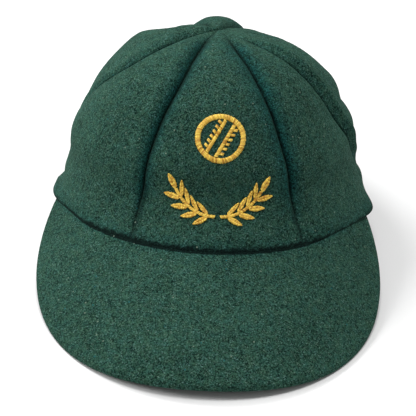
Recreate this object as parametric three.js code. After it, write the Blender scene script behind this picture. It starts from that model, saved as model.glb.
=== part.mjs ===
// An eight-panel wool cricket cap, at rest on a flat surface: a soft crown of eight sewn panels, a broad
// drooping peak of two cloth layers, and a raised satin-stitched emblem on the front panel.
// Millimetres and degrees. The cap is shaped in its own frame, with the rim of the crown in the plane z = 0,
// the front towards -Y and left towards -X. Its group then tilts it back, so that it lies on the peak's edge
// and the back of the rim.
import * as THREE from "three";

// Driving dimensions of the crown.
const headWidth = 174; // across the outside of the rim
const headLength = 199; // front to back, outside the rim
const crownHeight = 85; // rim to the point where the panels meet
const crownCloth = 2.4; // wool cloth with its backing
const panelPuff = 6.4; // how far a full panel stands out between its seams
const seamGap = 0.35; // between two panels, at their seam
const tipRadius = 1.3; // of the small ring where the panels' tips end
const tipNarrowing = 13; // a panel this wide, near its tip, stands out half as far
const pillowing = 0.75; // how square a panel's swelling is between its seams, where 1 is round
const rimTurning = 0.1; // share of the way up over which the cloth turns level at the rim
const seamLength = 140; // about the way from the rim to the tip over the cloth

// Driving dimensions of the peak.
const peakLength = 74.2; // at the middle, along the slope
const peakDroop = 29.3; // slope of the middle, in degrees
const peakArch = 5.1; // how much lower the peak hangs beside its middle
const peakBow = 1.5; // rise of the middle of the slope over a straight line
const peakHalfJoin = 69; // half of the stretch of rim that carries the peak, as an angle of the oval
const peakSpread = 0.253; // how much the peak fans out, in degrees for each degree round the rim
const peakCorner = 2.9; // squareness of the corners, where 2 is round
const peakTuck = 3; // how far the peak reaches in under the rim
const peakEnd = 0.6; // width of the peak where it runs out at its two ends
const peakTopCloth = 2;
const peakUnderCloth = 1.5;
const peakUnderInset = 1.2; // of the lower cloth from the upper one's edge
const layerGap = 0.3; // between the two cloths
const joinGap = 0.3; // between the rim and the peak under it

// Driving dimensions of the emblem, which follows the front panel.
const emblemRise = 42; // its middle over the rim, along the cloth
const emblemTurn = 2; // its middle round the rim from the front, in degrees
const emblemLift = 0.45; // backs of the stitches over the cloth
const threadDepth = 0.9; // of the stitched relief
const ballRadius = 12;
const ballRing = 2.6; // width of the ring that outlines the ball
const ballSeam = 1.8; // width of each of the two seam lines across the ball
const ballSeamGap = 3; // between the two seam lines
const ballSeamTurn = 28; // of the seam lines from upright, in degrees
const ballRise = 12; // middle of the ball over the middle of the emblem
const sprigFoot = 25.5; // foot of the sprigs under the middle of the emblem
const sprigGap = 1.6; // from the middle line to the foot of a sprig
const sprigRadius = 22; // of the arc that a sprig's stem follows
const sprigSweep = 62; // of that arc, in degrees
const stemWidth = 1.6;
const leafPairs = 4;
const leafLength = 8;
const leafGap = 0.7; // between neighbouring leaves
const leafLean = 38; // of a leaf from its stem, in degrees
const firstLeaf = 0.6; // from the foot to the first pair, as a share of the step between pairs

// How the cap lies, and how fine its surfaces are.
const settle = 0.8; // the soft edges give this much where they touch the surface
const panelColumns = 10;
const columnGathering = 0.4; // how much closer the columns stand beside the seams
const panelRows = 15;
const peakColumns = 30;
const peakRows = 7;

// The crown's sections, in even steps from the rim to the tip: the height as a share of crownHeight, and the
// seams' reach at the front, the sides and the back as shares of the rim's.
const sections = [
  { up: 0.0, front: 0.985, side: 0.992, back: 0.985 },
  { up: 0.05, front: 0.95, side: 0.955, back: 0.97 },
  { up: 0.13, front: 0.91, side: 0.91, back: 0.945 },
  { up: 0.25, front: 0.868, side: 0.86, back: 0.92 },
  { up: 0.4, front: 0.845, side: 0.835, back: 0.89 },
  { up: 0.55, front: 0.77, side: 0.765, back: 0.81 },
  { up: 0.7, front: 0.69, side: 0.68, back: 0.71 },
  { up: 0.82, front: 0.58, side: 0.57, back: 0.59 },
  { up: 0.91, front: 0.43, side: 0.43, back: 0.44 },
  { up: 0.97, front: 0.21, side: 0.21, back: 0.22 },
  { up: 1.0, front: 0.0, side: 0.0, back: 0.0 },
];

// The seams, round the crown from the left one of the front panel: the angle of the oval from the front, in
// even steps from the rim to the tip.
const seams = [
  { rim: -27.5, low: -28, middle: -27, high: -21, tip: -24 },
  { rim: 31.8, low: 31.3, middle: 27.7, high: 20.5, tip: 17 },
  { rim: 89, low: 88, middle: 68.5, high: 54, tip: 51 },
  { rim: 125, low: 123, middle: 120, high: 117, tip: 117 },
  { rim: 162, low: 161, middle: 160, high: 158, tip: 158 },
  { rim: 199, low: 199, middle: 200, high: 202, tip: 202 },
  { rim: 235, low: 237, middle: 240, high: 243, tip: 243 },
  { rim: 272, low: 272, middle: 276, high: 306.5, tip: 310 },
];

// The panels, each from the seam in the same row to the next one, and how far it stands out at its rim, at
// its fullest and at its tip, as shares of panelPuff. "fullest" says where that is, as a share of the way up.
const panels = [
  { name: "crown_panel_front", rim: 0.1, most: 0.5, tip: 0.5, fullest: 0.72 },
  { name: "crown_panel_front_right", rim: 0.3, most: 0.55, tip: 0.3, fullest: 0.6 },
  { name: "crown_panel_side_right", rim: 0.2, most: 0.65, tip: 0.1, fullest: 0.5 },
  { name: "crown_panel_back_right", rim: 0.1, most: 0.5, tip: 0, fullest: 0.5 },
  { name: "crown_panel_back", rim: 0.2, most: 0.8, tip: 1.3, fullest: 0.7 },
  { name: "crown_panel_back_left", rim: 0, most: 0.6, tip: 0.15, fullest: 0.7 },
  { name: "crown_panel_side_left", rim: -0.6, most: 0.45, tip: 0.9, fullest: 0.6 },
  { name: "crown_panel_front_left", rim: 0.1, most: 0.95, tip: 0.5, fullest: 0.5 },
];

// Soft dents and swellings of the crown: where, as an angle of the oval and a share of the way up; how far
// out, as a share of panelPuff; and the half width round and half height up, as shares of crownHeight.
const dents = [
  { turn: 0, along: 0.31, out: -0.37, round: 0.31, up: 0.18 },
  { turn: -12, along: 0.36, out: -0.12, round: 0.14, up: 0.08 },
  { turn: 2, along: 0.09, out: 0.14, round: 0.47, up: 0.11 },
  { turn: 71, along: 0, out: 0.69, round: 0.18, up: 0.09 },
  { turn: 86, along: 0.36, out: 0.31, round: 0.26, up: 0.31 },
  { turn: 50, along: 0.1, out: 0.25, round: 0.26, up: 0.08 },
  { turn: 305, along: 0.1, out: 0.19, round: 0.24, up: 0.08 },
  { turn: 276, along: 0.14, out: -0.31, round: 0.18, up: 0.11 },
  { turn: 55, along: 0.3, out: -0.16, round: 0.19, up: 0.19 },
  { turn: 98, along: 0.32, out: -0.14, round: 0.19, up: 0.19 },
  { turn: 288, along: 0.02, out: 0.41, round: 0.21, up: 0.09 },
  { turn: 283, along: 0.42, out: 0.22, round: 0.28, up: 0.28 },
  { turn: 222, along: 0.8, out: -0.19, round: 0.16, up: 0.11 },
  { turn: 250, along: 0.77, out: 0.34, round: 0.19, up: 0.12 },
  { turn: 262, along: 0.3, out: -0.12, round: 0.21, up: 0.16 },
  { turn: 135, along: 0.83, out: -0.19, round: 0.21, up: 0.12 },
  { turn: 180, along: 0.84, out: 0.19, round: 0.21, up: 0.11 },
  { turn: 180, along: 0.28, out: -0.16, round: 0.26, up: 0.14 },
  { turn: 222, along: 0.4, out: -0.11, round: 0.19, up: 0.19 },
  { turn: 138, along: 0.42, out: -0.12, round: 0.21, up: 0.16 },
];

const wool = new THREE.MeshStandardMaterial({ color: 0x2f5344, roughness: 0.95, metalness: 0 });
const thread = new THREE.MeshStandardMaterial({ color: 0xdca73a, roughness: 0.45, metalness: 0 });

const { degToRad, smoothstep, lerp, clamp, euclideanModulo } = THREE.MathUtils;

// A smooth curve through values that stand in even steps.
function curveThrough(values) {
  return new THREE.SplineCurve(values.map((value, at) => new THREE.Vector2(at, value)));
}

// A value of the table of sections, at a share of the way from the rim to the tip.
const sectionCurves = {};
for (const name of ["up", "front", "side", "back"]) {
  sectionCurves[name] = curveThrough(sections.map((section) => section[name]));
}
const sectionAt = (name, along) => sectionCurves[name].getPoint(along).y;

// The seams' own surface, which every panel meets at its two edges.
function shellPoint(angle, along) {
  const ahead = Math.max(Math.cos(angle), 0) ** 2;
  const behind = Math.max(-Math.cos(angle), 0) ** 2;
  const aside = Math.sin(angle) ** 2;
  const endReach = ahead * sectionAt("front", along) + behind * sectionAt("back", along);
  const reach = endReach + aside * sectionAt("side", along);
  return new THREE.Vector3(
    lerp(tipRadius, headWidth / 2, reach) * Math.sin(angle),
    -lerp(tipRadius, headLength / 2, reach) * Math.cos(angle),
    crownHeight * sectionAt("up", along),
  );
}

// Steps along that surface, round it and up it, as lengths for each radian and for the whole way.
function shellSteps(angle, along) {
  const step = 1e-3;
  const low = Math.max(along - step, 0);
  const high = Math.min(along + step, 1);
  const round = shellPoint(angle + step, along).sub(shellPoint(angle - step, along));
  const upward = shellPoint(angle, high).sub(shellPoint(angle, low));
  round.divideScalar(2 * step);
  upward.divideScalar(high - low);
  return { round, upward };
}

// The way out of the cloth. It turns level at the rim, whose lower face is flat.
function outward(angle, along) {
  const { round, upward } = shellSteps(angle, along);
  const normal = round.cross(upward).normalize();
  normal.z *= smoothstep(along, 0, rimTurning);
  return normal.normalize();
}

// A closed wall between an outer and an inner skin. Each skin is a grid of points that at(u, v, depth)
// gives, with u and v from 0 to 1 and depth 0 outside or 1 inside; seen from outside, v goes up as u goes
// right.
function wall(columns, rows, at) {
  const points = [];
  for (const depth of [0, 1]) {
    for (let row = 0; row <= rows; row++) {
      for (let column = 0; column <= columns; column++) {
        points.push(...at(column / columns, row / rows, depth).toArray());
      }
    }
  }
  const point = (column, row, depth) => (depth * (rows + 1) + row) * (columns + 1) + column;
  const triangles = [];
  const quad = (a, b, c, d) => triangles.push(a, b, c, a, c, d);
  for (let row = 0; row < rows; row++) {
    for (let column = 0; column < columns; column++) {
      const corners = (depth) => [
        point(column, row, depth),
        point(column + 1, row, depth),
        point(column + 1, row + 1, depth),
        point(column, row + 1, depth),
      ];
      quad(...corners(0));
      quad(...corners(1).reverse());
    }
  }
  for (let column = 0; column < columns; column++) {
    const next = column + 1;
    quad(point(column, 0, 1), point(next, 0, 1), point(next, 0, 0), point(column, 0, 0));
    quad(point(column, rows, 0), point(next, rows, 0), point(next, rows, 1), point(column, rows, 1));
  }
  for (let row = 0; row < rows; row++) {
    const next = row + 1;
    quad(point(0, row, 0), point(0, next, 0), point(0, next, 1), point(0, row, 1));
    quad(point(columns, row, 1), point(columns, next, 1), point(columns, next, 0), point(columns, row, 0));
  }
  const geometry = new THREE.BufferGeometry();
  geometry.setAttribute("position", new THREE.Float32BufferAttribute(points, 3));
  geometry.setIndex(triangles);
  return geometry;
}

// Each panel runs between two curves of the seams' angle. The last one ends at the first seam, a turn on.
for (const [at, panel] of panels.entries()) {
  const bounds = [seams[at], seams[(at + 1) % seams.length]];
  [panel.start, panel.end] = bounds.map(({ rim, low, middle, high, tip }) =>
    curveThrough([rim, low, middle, high, tip].map((turn) => degToRad(turn))),
  );
  panel.endTurn = at + 1 < seams.length ? 0 : 2 * Math.PI;
}

// The middle and the half width of a panel as angles, at a share of the way up.
function panelSpan(panel, along) {
  const start = panel.start.getPoint(along).y;
  const end = panel.end.getPoint(along).y + panel.endTurn;
  return { middle: (start + end) / 2, half: (end - start) / 2 };
}

// How far the dents and swellings move the cloth out.
function dentsAt(angle, along) {
  const { x, y } = shellPoint(angle, along);
  let out = 0;
  for (const dent of dents) {
    const turn = euclideanModulo(angle - degToRad(dent.turn) + Math.PI, 2 * Math.PI) - Math.PI;
    const away = (turn * Math.hypot(x, y)) / (dent.round * crownHeight);
    const above = ((along - dent.along) * seamLength) / (dent.up * crownHeight);
    out += dent.out * panelPuff * Math.exp(-(away ** 2) - above ** 2);
  }
  return out;
}

// How far a panel stands out of the seams' surface, at "across" from -1 to 1 between its two seams. It
// swells like a pillow: steep beside the seams and flat in the middle, and less at its rim and its tip.
function standOut(panel, across, along) {
  const { middle, half } = panelSpan(panel, along);
  const rising = lerp(panel.rim, panel.most, smoothstep(along, 0, panel.fullest));
  const amount = lerp(rising, panel.tip, smoothstep(along, panel.fullest, 1));
  const width = 2 * half * shellSteps(middle, along).round.length();
  const pillow = (1 - across ** 2) ** pillowing;
  const swelling = panelPuff * amount * pillow * (width / (width + tipNarrowing));
  return swelling + dentsAt(middle + across * half, along);
}

function panelPoint(panel, across, along, depth) {
  const { middle, half } = panelSpan(panel, along);
  const clearance = seamGap / 2 / shellSteps(middle, along).round.length();
  const angle = middle + across * (half - clearance);
  const out = standOut(panel, across, along) - depth * crownCloth;
  return shellPoint(angle, along).addScaledVector(outward(angle, along), out);
}

// The peak's surface, at "across" from -1 to 1 between its ends and "out" from 0 at the rim to 1 at its
// edge.
function peakPoint(across, out, inset, drop) {
  const slope = degToRad(peakDroop);
  const angle = across * degToRad(peakHalfJoin);
  const grain = angle * peakSpread;
  const taper = Math.sqrt(Math.max(1 - Math.abs(across) ** peakCorner, 0));
  const level = Math.max(peakLength * Math.cos(slope) * taper - inset, 0) + peakEnd;
  const arch = peakArch * Math.sin(Math.PI * Math.abs(across)) * Math.abs(across);
  const bow = peakBow * Math.sin(Math.PI * out) * taper;
  const point = new THREE.Vector3(
    (headWidth / 2) * Math.sin(angle) + Math.sin(grain) * level * out,
    (-headLength / 2) * Math.cos(angle) - Math.cos(grain) * level * out,
    bow - (Math.tan(slope) * level + arch) * out - joinGap,
  );
  const over = new THREE.Vector3(Math.sin(grain), -Math.cos(grain), 1 / Math.tan(slope)).normalize();
  return point.addScaledVector(over, -drop);
}

// The strip of the peak that lies flat under the rim.
function tuckedPoint(across, drop) {
  const angle = across * degToRad(peakHalfJoin);
  const inward = new THREE.Vector3(-headLength * Math.sin(angle), headWidth * Math.cos(angle), 0);
  return peakPoint(across, 0, 0, drop).addScaledVector(inward.normalize(), peakTuck);
}

// The cap lies on the lowest points of the peak's edge and on the back of the rim, which give a little.
const underDrop = peakTopCloth + layerGap;
const totalDrop = underDrop + peakUnderCloth;
const heel = panelPoint(panels.find((panel) => panel.name === "crown_panel_back"), 0, 0, 0);
let restTilt = 0;
for (let column = 0; column <= peakColumns; column++) {
  const toe = peakPoint((2 * column) / peakColumns - 1, 1, peakUnderInset, totalDrop);
  restTilt = Math.max(restTilt, Math.atan2(-toe.z, heel.y - toe.y));
}
const restUp = new THREE.Vector3(0, -Math.sin(restTilt), Math.cos(restTilt));
const restHeight = heel.dot(restUp) + settle;

function settled(point) {
  const sunk = restHeight - point.dot(restUp);
  return sunk > 0 ? point.addScaledVector(restUp, sunk) : point;
}

function panelGeometry(panel) {
  return wall(panelColumns, panelRows, (u, v, depth) => {
    const x = 2 * u - 1;
    const across = x * (1 + columnGathering * (1 - x * x));
    return settled(panelPoint(panel, across, v, depth));
  });
}

function peakGeometry(cloth, inset, drop) {
  return wall(peakColumns, peakRows, (u, v, depth) => {
    const across = Math.sin(((2 * u - 1) * Math.PI) / 2);
    const low = drop + depth * cloth;
    const out = 1 - (v * peakRows) / (peakRows - 1);
    return settled(v < 1 ? peakPoint(across, out, inset, low) : tuckedPoint(across, low));
  });
}

// How far up the seams' surface a length over the cloth reaches, at the emblem.
function alongAt(rise) {
  const steps = 300;
  const angle = degToRad(emblemTurn);
  let length = 0;
  let from = shellPoint(angle, 0);
  for (let step = 1; step <= steps; step++) {
    const to = shellPoint(angle, step / steps);
    const part = to.distanceTo(from);
    if (length + part >= rise) return (step - 1 + (rise - length) / part) / steps;
    length += part;
    from = to;
  }
  return 1;
}

// A point over the front panel, from the emblem's middle: sideways, up the cloth and off the cloth.
function emblemPoint({ x, y, z }) {
  const panel = panels[0];
  const along = alongAt(emblemRise + y);
  const { middle, half } = panelSpan(panel, along);
  const angle = degToRad(emblemTurn) + x / shellSteps(middle, along).round.length();
  const across = clamp((angle - middle) / half, -1, 1);
  const out = standOut(panel, across, along) + emblemLift + z;
  return shellPoint(angle, along).addScaledVector(outward(angle, along), out);
}

// A flat outline with the thickness of the stitches, turned, raised and bent to the panel.
function stitchedRelief(shape, turn, rise) {
  const settings = { depth: threadDepth, bevelEnabled: false, curveSegments: 20 };
  const geometry = new THREE.ExtrudeGeometry(shape, settings);
  geometry.rotateZ(-degToRad(turn));
  geometry.translate(0, rise, 0);
  const position = geometry.attributes.position;
  const corner = new THREE.Vector3();
  for (let at = 0; at < position.count; at++) {
    corner.fromBufferAttribute(position, at);
    position.setXYZ(at, ...emblemPoint(corner).toArray());
  }
  return geometry;
}

// The part of the ball inside its ring and between two upright lines.
function ballSlice(left, right) {
  const radius = ballRadius - ballRing;
  const toLeft = Math.acos(clamp(left / radius, -1, 1));
  const toRight = Math.acos(clamp(right / radius, -1, 1));
  const slice = new THREE.Path();
  slice.absarc(0, 0, radius, toRight, toLeft, false);
  slice.absarc(0, 0, radius, -toLeft, -toRight, false);
  return slice;
}

// A ring with two seam lines across it.
function ballShape() {
  const seamInner = ballSeamGap / 2;
  const seamOuter = seamInner + ballSeam;
  const ball = new THREE.Shape();
  ball.absarc(0, 0, ballRadius, 0, 2 * Math.PI, false);
  ball.holes.push(
    ballSlice(-ballRadius, -seamOuter),
    ballSlice(-seamInner, seamInner),
    ballSlice(seamOuter, ballRadius),
  );
  return ball;
}

// Half of a leaf's outline from its root to its point, and half of the end leaf's: shares of the length, and
// half widths as shares of the leaf's width and of the stem's.
const leafOutline = [
  { share: 0.3, half: 0.42 },
  { share: 0.55, half: 0.5 },
  { share: 0.8, half: 0.3 },
];
const endLeafOutline = [
  { share: 0, half: 0.5 },
  { share: 0.35, half: 1 },
  { share: 0.7, half: 0.8 },
];

// The points round a leaf, up one side, over its point and down the other.
function leafPoints(root, axis, back, outline, width) {
  const edge = (share, half) =>
    root.clone().addScaledVector(axis, share * leafLength).addScaledVector(back, half * width);
  const near = outline.map(({ share, half }) => edge(share, half));
  const far = outline.map(({ share, half }) => edge(share, -half));
  return [...near, edge(1, 0), ...far.reverse()];
}

// One spreading sprig: an arched stem with a leaf at its end and pairs of pointed leaves along it. "hand" is
// 1 for the sprig to the right of the middle line and -1 for the one to the left.
function sprigShape(hand) {
  const sweep = degToRad(sprigSweep);
  const lean = degToRad(leafLean);
  const stemWay = (turn) => new THREE.Vector2(Math.cos(turn), Math.sin(turn));
  const stemOut = (turn, side) => new THREE.Vector2(Math.sin(turn), -Math.cos(turn)).multiplyScalar(side);
  const onStem = (turn) => stemOut(turn, sprigRadius).add(new THREE.Vector2(0, sprigRadius));
  const stemEdge = (turn, side) => onStem(turn).addScaledVector(stemOut(turn, side), stemWidth / 2);
  const stepTurn = sweep / (leafPairs + 0.5);

  const leaf = (pair, side) => {
    const turn = (pair + firstLeaf) * stepTurn;
    const way = stemWay(turn);
    const out = stemOut(turn, side);
    const root = stemEdge(turn, side);
    const axis = way.clone().multiplyScalar(Math.cos(lean)).addScaledVector(out, Math.sin(lean));
    const back = out.clone().multiplyScalar(Math.cos(lean)).addScaledVector(way, -Math.sin(lean));
    const spread = sprigRadius + (side * leafLength * Math.sin(lean)) / 2;
    const width = stepTurn * spread * Math.sin(lean) - leafGap;
    const points = [
      root.clone().addScaledVector(way, -width / 2),
      ...leafPoints(root, axis, back, leafOutline, width),
      root.clone().addScaledVector(way, width / 2),
    ];
    return side > 0 ? points : points.reverse();
  };

  const outline = [stemEdge(0, 1)];
  for (let pair = 0; pair < leafPairs; pair++) {
    outline.push(...leaf(pair, 1));
  }
  outline.push(...leafPoints(onStem(sweep), stemWay(sweep), stemOut(sweep, 1), endLeafOutline, stemWidth));
  for (let pair = leafPairs - 1; pair >= 0; pair--) {
    outline.push(...leaf(pair, -1));
  }
  outline.push(stemEdge(0, -1));
  return new THREE.Shape(outline.map(({ x, y }) => new THREE.Vector2(hand * (x + sprigGap), y)));
}

const cap = new THREE.Group();

function addPiece(name, geometry, material) {
  const piece = new THREE.Mesh(geometry, material);
  piece.name = name;
  cap.add(piece);
}

for (const panel of panels) {
  addPiece(panel.name, panelGeometry(panel), wool);
}
addPiece("peak_top", peakGeometry(peakTopCloth, 0, 0), wool);
addPiece("peak_underside", peakGeometry(peakUnderCloth, peakUnderInset, underDrop), wool);
addPiece("emblem_ball", stitchedRelief(ballShape(), ballSeamTurn, ballRise), thread);
addPiece("emblem_sprig_left", stitchedRelief(sprigShape(-1), 0, -sprigFoot), thread);
addPiece("emblem_sprig_right", stitchedRelief(sprigShape(1), 0, -sprigFoot), thread);

// The cap lies with the middle of its box over the origin and its lowest points on z = 0.
const group = new THREE.Group();
group.add(cap);
cap.rotation.x = -restTilt;
const box = new THREE.Box3().setFromObject(group, true);
const middle = box.getCenter(new THREE.Vector3());
cap.position.set(-middle.x, -middle.y, -box.min.z);

export default group;
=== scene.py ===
# An eight-panel wool cricket cap on a pale table: a soft crown of puffed melton panels sewn edge to edge, a
# broad peak of two cloth layers with a turned edge, and a satin-stitched badge of a ball over two sprigs.
# The cloth is worked in millimetres in the cap's own frame, with the rim in the plane z = 0, the front
# towards -Y and left towards -X. to_row then lays it back the way the cap rests, in metres.
import math
import random

import bpy
import numpy as np
from mathutils import Matrix, Vector, noise


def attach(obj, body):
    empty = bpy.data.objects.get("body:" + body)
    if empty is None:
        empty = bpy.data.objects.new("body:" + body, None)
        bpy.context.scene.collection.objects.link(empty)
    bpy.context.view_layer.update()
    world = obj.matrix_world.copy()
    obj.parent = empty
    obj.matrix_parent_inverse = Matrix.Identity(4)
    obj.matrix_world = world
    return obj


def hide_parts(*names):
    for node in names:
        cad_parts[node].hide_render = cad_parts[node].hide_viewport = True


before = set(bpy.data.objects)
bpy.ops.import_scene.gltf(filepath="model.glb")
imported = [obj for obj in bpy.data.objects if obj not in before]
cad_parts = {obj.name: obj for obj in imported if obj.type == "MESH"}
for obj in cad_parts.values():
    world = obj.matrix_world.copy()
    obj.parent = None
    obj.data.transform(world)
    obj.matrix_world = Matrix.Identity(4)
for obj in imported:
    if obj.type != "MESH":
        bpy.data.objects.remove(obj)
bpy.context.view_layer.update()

MM = 0.001

# How the cap rests: tilted back on the edge of its peak and the back of its rim.
REST_TILT = math.radians(9.5193)
REST_PLACE = np.array([-0.5446, 35.4587, 15.5885])

# The crown's sizes.
HALF_WIDTH = 87.0
HALF_LENGTH = 99.5
CROWN_HEIGHT = 85.0
CROWN_CLOTH = 2.4
CROWN_WAY = 140.0  # about the length of a seam, from rim to tip
RIM_LEVEL = 0.1  # share of the way up under which the cloth swells level, so that the rim stays flat
PANEL_PUFF = 6.4
PANEL_PILLOW = 0.75  # how square a panel's swelling is between its seams, where 1 is round
TIP_RADIUS = 1.3
TIP_NARROWING = 13.0
TIP_CLOSED = 0.08  # radius that the gathered tips leave open
TIP_CLOSES = 0.9  # share of the way up where the tips start to gather
PANEL_COLUMNS = 84
PANEL_ROWS = 132
COLUMN_GATHERING = 0.4  # how much closer the columns stand beside the seams
ROW_GATHERING = 0.38  # how much closer the rows stand at the rim

# The crown's sections in even steps from the rim to the tip, as shares of its height and of the rim's reach.
SECTION_UP = np.array([0, 0.05, 0.13, 0.25, 0.4, 0.55, 0.7, 0.82, 0.91, 0.97, 1])
SECTION_FRONT = np.array([0.985, 0.95, 0.91, 0.868, 0.845, 0.77, 0.69, 0.58, 0.43, 0.21, 0])
SECTION_SIDE = np.array([0.992, 0.955, 0.91, 0.86, 0.835, 0.765, 0.68, 0.57, 0.43, 0.21, 0])
SECTION_BACK = np.array([0.985, 0.97, 0.945, 0.92, 0.89, 0.81, 0.71, 0.59, 0.44, 0.22, 0])

# The panels, and how far each stands out at its rim, at its fullest and at its tip, as shares of PANEL_PUFF,
# with where it is fullest.
PANELS = [
    {"node": "crown_panel_front", "rim": 0.1, "most": 0.5, "tip": 0.5, "fullest": 0.72},
    {"node": "crown_panel_front_right", "rim": 0.3, "most": 0.55, "tip": 0.3, "fullest": 0.6},
    {"node": "crown_panel_side_right", "rim": 0.2, "most": 0.65, "tip": 0.1, "fullest": 0.5},
    {"node": "crown_panel_back_right", "rim": 0.1, "most": 0.5, "tip": 0, "fullest": 0.5},
    {"node": "crown_panel_back", "rim": 0.2, "most": 0.8, "tip": 1.3, "fullest": 0.7},
    {"node": "crown_panel_back_left", "rim": 0, "most": 0.6, "tip": 0.15, "fullest": 0.7},
    {"node": "crown_panel_side_left", "rim": -0.6, "most": 0.45, "tip": 0.9, "fullest": 0.6},
    {"node": "crown_panel_front_left", "rim": 0.1, "most": 0.95, "tip": 0.5, "fullest": 0.5},
]

# Each seam, in the order of the panels that start at it. "turns": its degrees round from the front, at five
# places evenly spaced from the rim to the tip. "rim", "middle" and "high": how deep its groove is at the
# rim, half way up and near the tip. "lean": how far the cloth leans over it, from before, or from after if
# negative. "teal_and_shade": how teal it looks beside it, partly a teal hue and partly painted shade. "ends":
# the share of the way up where its line of painted shade ends. The others are pairs, for the side before the
# seam and the side after it. "groove": how wide the groove is. "welt": how high the cloth swells beside it.
# "painted_shade" and "teal": how far its line of painted shade and its teal with painted shade reach.
BACK_SEAM = {
    "rim": 0.8, "middle": 1.4, "high": 1.4, "teal_and_shade": 0.5, "ends": 0.99,
    "groove": (3.2, 3.2), "welt": (0.4, 0.4), "painted_shade": (0.8, 0.8), "teal": (5.0, 5.0),
}
SEAMS = [
    {
        "turns": (-27, -27.5, -26.5, -21, -24), "rim": 0.3, "middle": 2.7, "high": 2.5,
        "lean": 1.4, "teal_and_shade": 1.0, "ends": 0.99,
        "groove": (4.1, 4.6), "welt": (0.8, 0.2), "painted_shade": (0.9, 3.4), "teal": (4.4, 5.0),
    },
    {
        "turns": (31.8, 31.3, 28.8, 24.2, 22), "rim": 0.3, "middle": 2.4, "high": 2.5,
        "lean": 0.3, "teal_and_shade": 1.0, "ends": 0.99,
        "groove": (6.0, 4.0), "welt": (0.2, 0.9), "painted_shade": (2.6, 0.8), "teal": (8.0, 4.6),
    },
    {
        "turns": (89, 85.5, 68, 58.8, 55), "rim": 0.6, "middle": 2.0, "high": 2.5,
        "lean": -1.4, "teal_and_shade": 0.3, "ends": 0.99,
        "groove": (3.8, 2.4), "welt": (0.2, 3.0), "painted_shade": (1.2, 1.2), "teal": (5.0, 5.0),
    },
    {**BACK_SEAM, "turns": (125, 123, 120, 117, 117), "lean": 0.3},
    {**BACK_SEAM, "turns": (162, 161, 160, 158, 158), "lean": -0.3},
    {**BACK_SEAM, "turns": (199, 199, 200, 202, 202), "lean": 0.3},
    {**BACK_SEAM, "turns": (235, 237, 240, 243, 243), "lean": -0.3},
    {
        "turns": (272, 272, 278, 302, 306), "rim": 0.6, "middle": 2.1, "high": 2.3,
        "lean": 1.4, "teal_and_shade": 0.3, "ends": 0.91,
        "groove": (3.4, 2.6), "welt": (0.8, 0.3), "painted_shade": (1.9, 1.5), "teal": (5.0, 5.0),
    },
]

# What all seams share. A pair is where a change starts and where it ends, as shares of the way up.
LOW_GROOVE = 0.5  # width of the grooves near the rim, as a share of their width near the tip
GROOVE_WIDENS = (0.3, 0.65)
GROOVE_DEEPENS = (0.12, 0.4)
GROOVE_DEEPENS_AGAIN = (0.5, 0.85)
GROOVE_ENDS = (0.84, 0.95)
LEAN_WIDTH = 8.0
LEAN_STARTS = (0.1, 0.4)
LEAN_ENDS = (0.8, 0.95)
WELT_PLACE = 6.2  # from the seam to the middle of the swelling beside it
WELT_WIDTH = 2.3
WELT_STARTS = (0.2, 0.45)
WELT_ENDS = (0.8, 0.93)
PUCKER_DEPTH = 0.22
PUCKER_SIZE = 3.4
PUCKER_SQUEEZE = np.array([0.35, 0.35, 1])  # of the noise, so that the puckers are long across the seam
PUCKER_PLACE = 1.5  # from the seam to where they are deepest
PUCKER_REACH = 7.0
PUCKER_FADE = 1.5  # how fast they die out up to there, where 1 is evenly
PUCKER_SEEDS = (5.9, 1.3)
SEAM_SHADED_TEAL_DEPTH = 2.2  # a groove this deep gets the full teal hue and painted shade beside it
SEAM_CORE_SHADE = 0.85  # how dark the line of painted shade along a seam is
SEAM_CORE_SHALLOW = 0.7  # the share of that where the groove is shallow
SEAM_CORE_FADE = 0.09  # share of the way up over which the line of painted shade fades before its end

# The rim and its join with the peak. The rim is rolled in all round, and over the join it is rolled in less
# or hangs out over the peak. A pair here is where something starts and where it is full, as cosines of the
# angle round from the front.
RIM_ROLL_DEPTH = 1.65
RIM_ROLL_HEIGHT = 4.4
RIM_ROLL_LOWER = 0.35  # how much lower the roll is at the front, as a share of its height
JOIN_ROLL_DEPTH = 0.6  # at the ends of the join
JOIN_ROLL_ROUND = (0, 0.5)
JOIN_OVERHANG = 1.0  # along most of the join
JOIN_OVERHANG_TURN = math.radians(-5)  # the middle of the stretch that hangs out
JOIN_OVERHANG_ROUND = (0.62, 0.8)

# The join's dark line is painted shade. It reaches a little way up the rim and a little way down the peak,
# further at the front. Its edges wander. Above and below it the cloth is a little teal, partly a teal hue and
# partly painted shade.
JOIN_FRONT_ROUND = (0.6, 1)
JOIN_LINE_ROUND = (0, 0.3)
RIM_SHADE_REACH = 0.7
RIM_SHADE_MORE = 0.3  # further at the front
RIM_SHADE_FADE = 1.9  # the line has faded out this many times its reach up the rim
PEAK_SHADE_REACH = 0.45
PEAK_SHADE_MORE = 0.25  # further at the front
PEAK_SHADE_FADE = (0.85, 1.15)  # the line fades between these shares of its reach down the peak
JOIN_RAGGED = 0.45  # how far the upper edge wanders
JOIN_RAGGED_SIZE = 2.2
RIM_RAGGED_SEED = 21.4
PEAK_RAGGED_SEED = 17.9
PEAK_RAGGED = 0.3  # how far the lower edge wanders, as a share of the upper one
JOIN_TEAL_AND_SHADE = 0.4
JOIN_TEAL_AND_SHADE_REACH = 2.5

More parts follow.
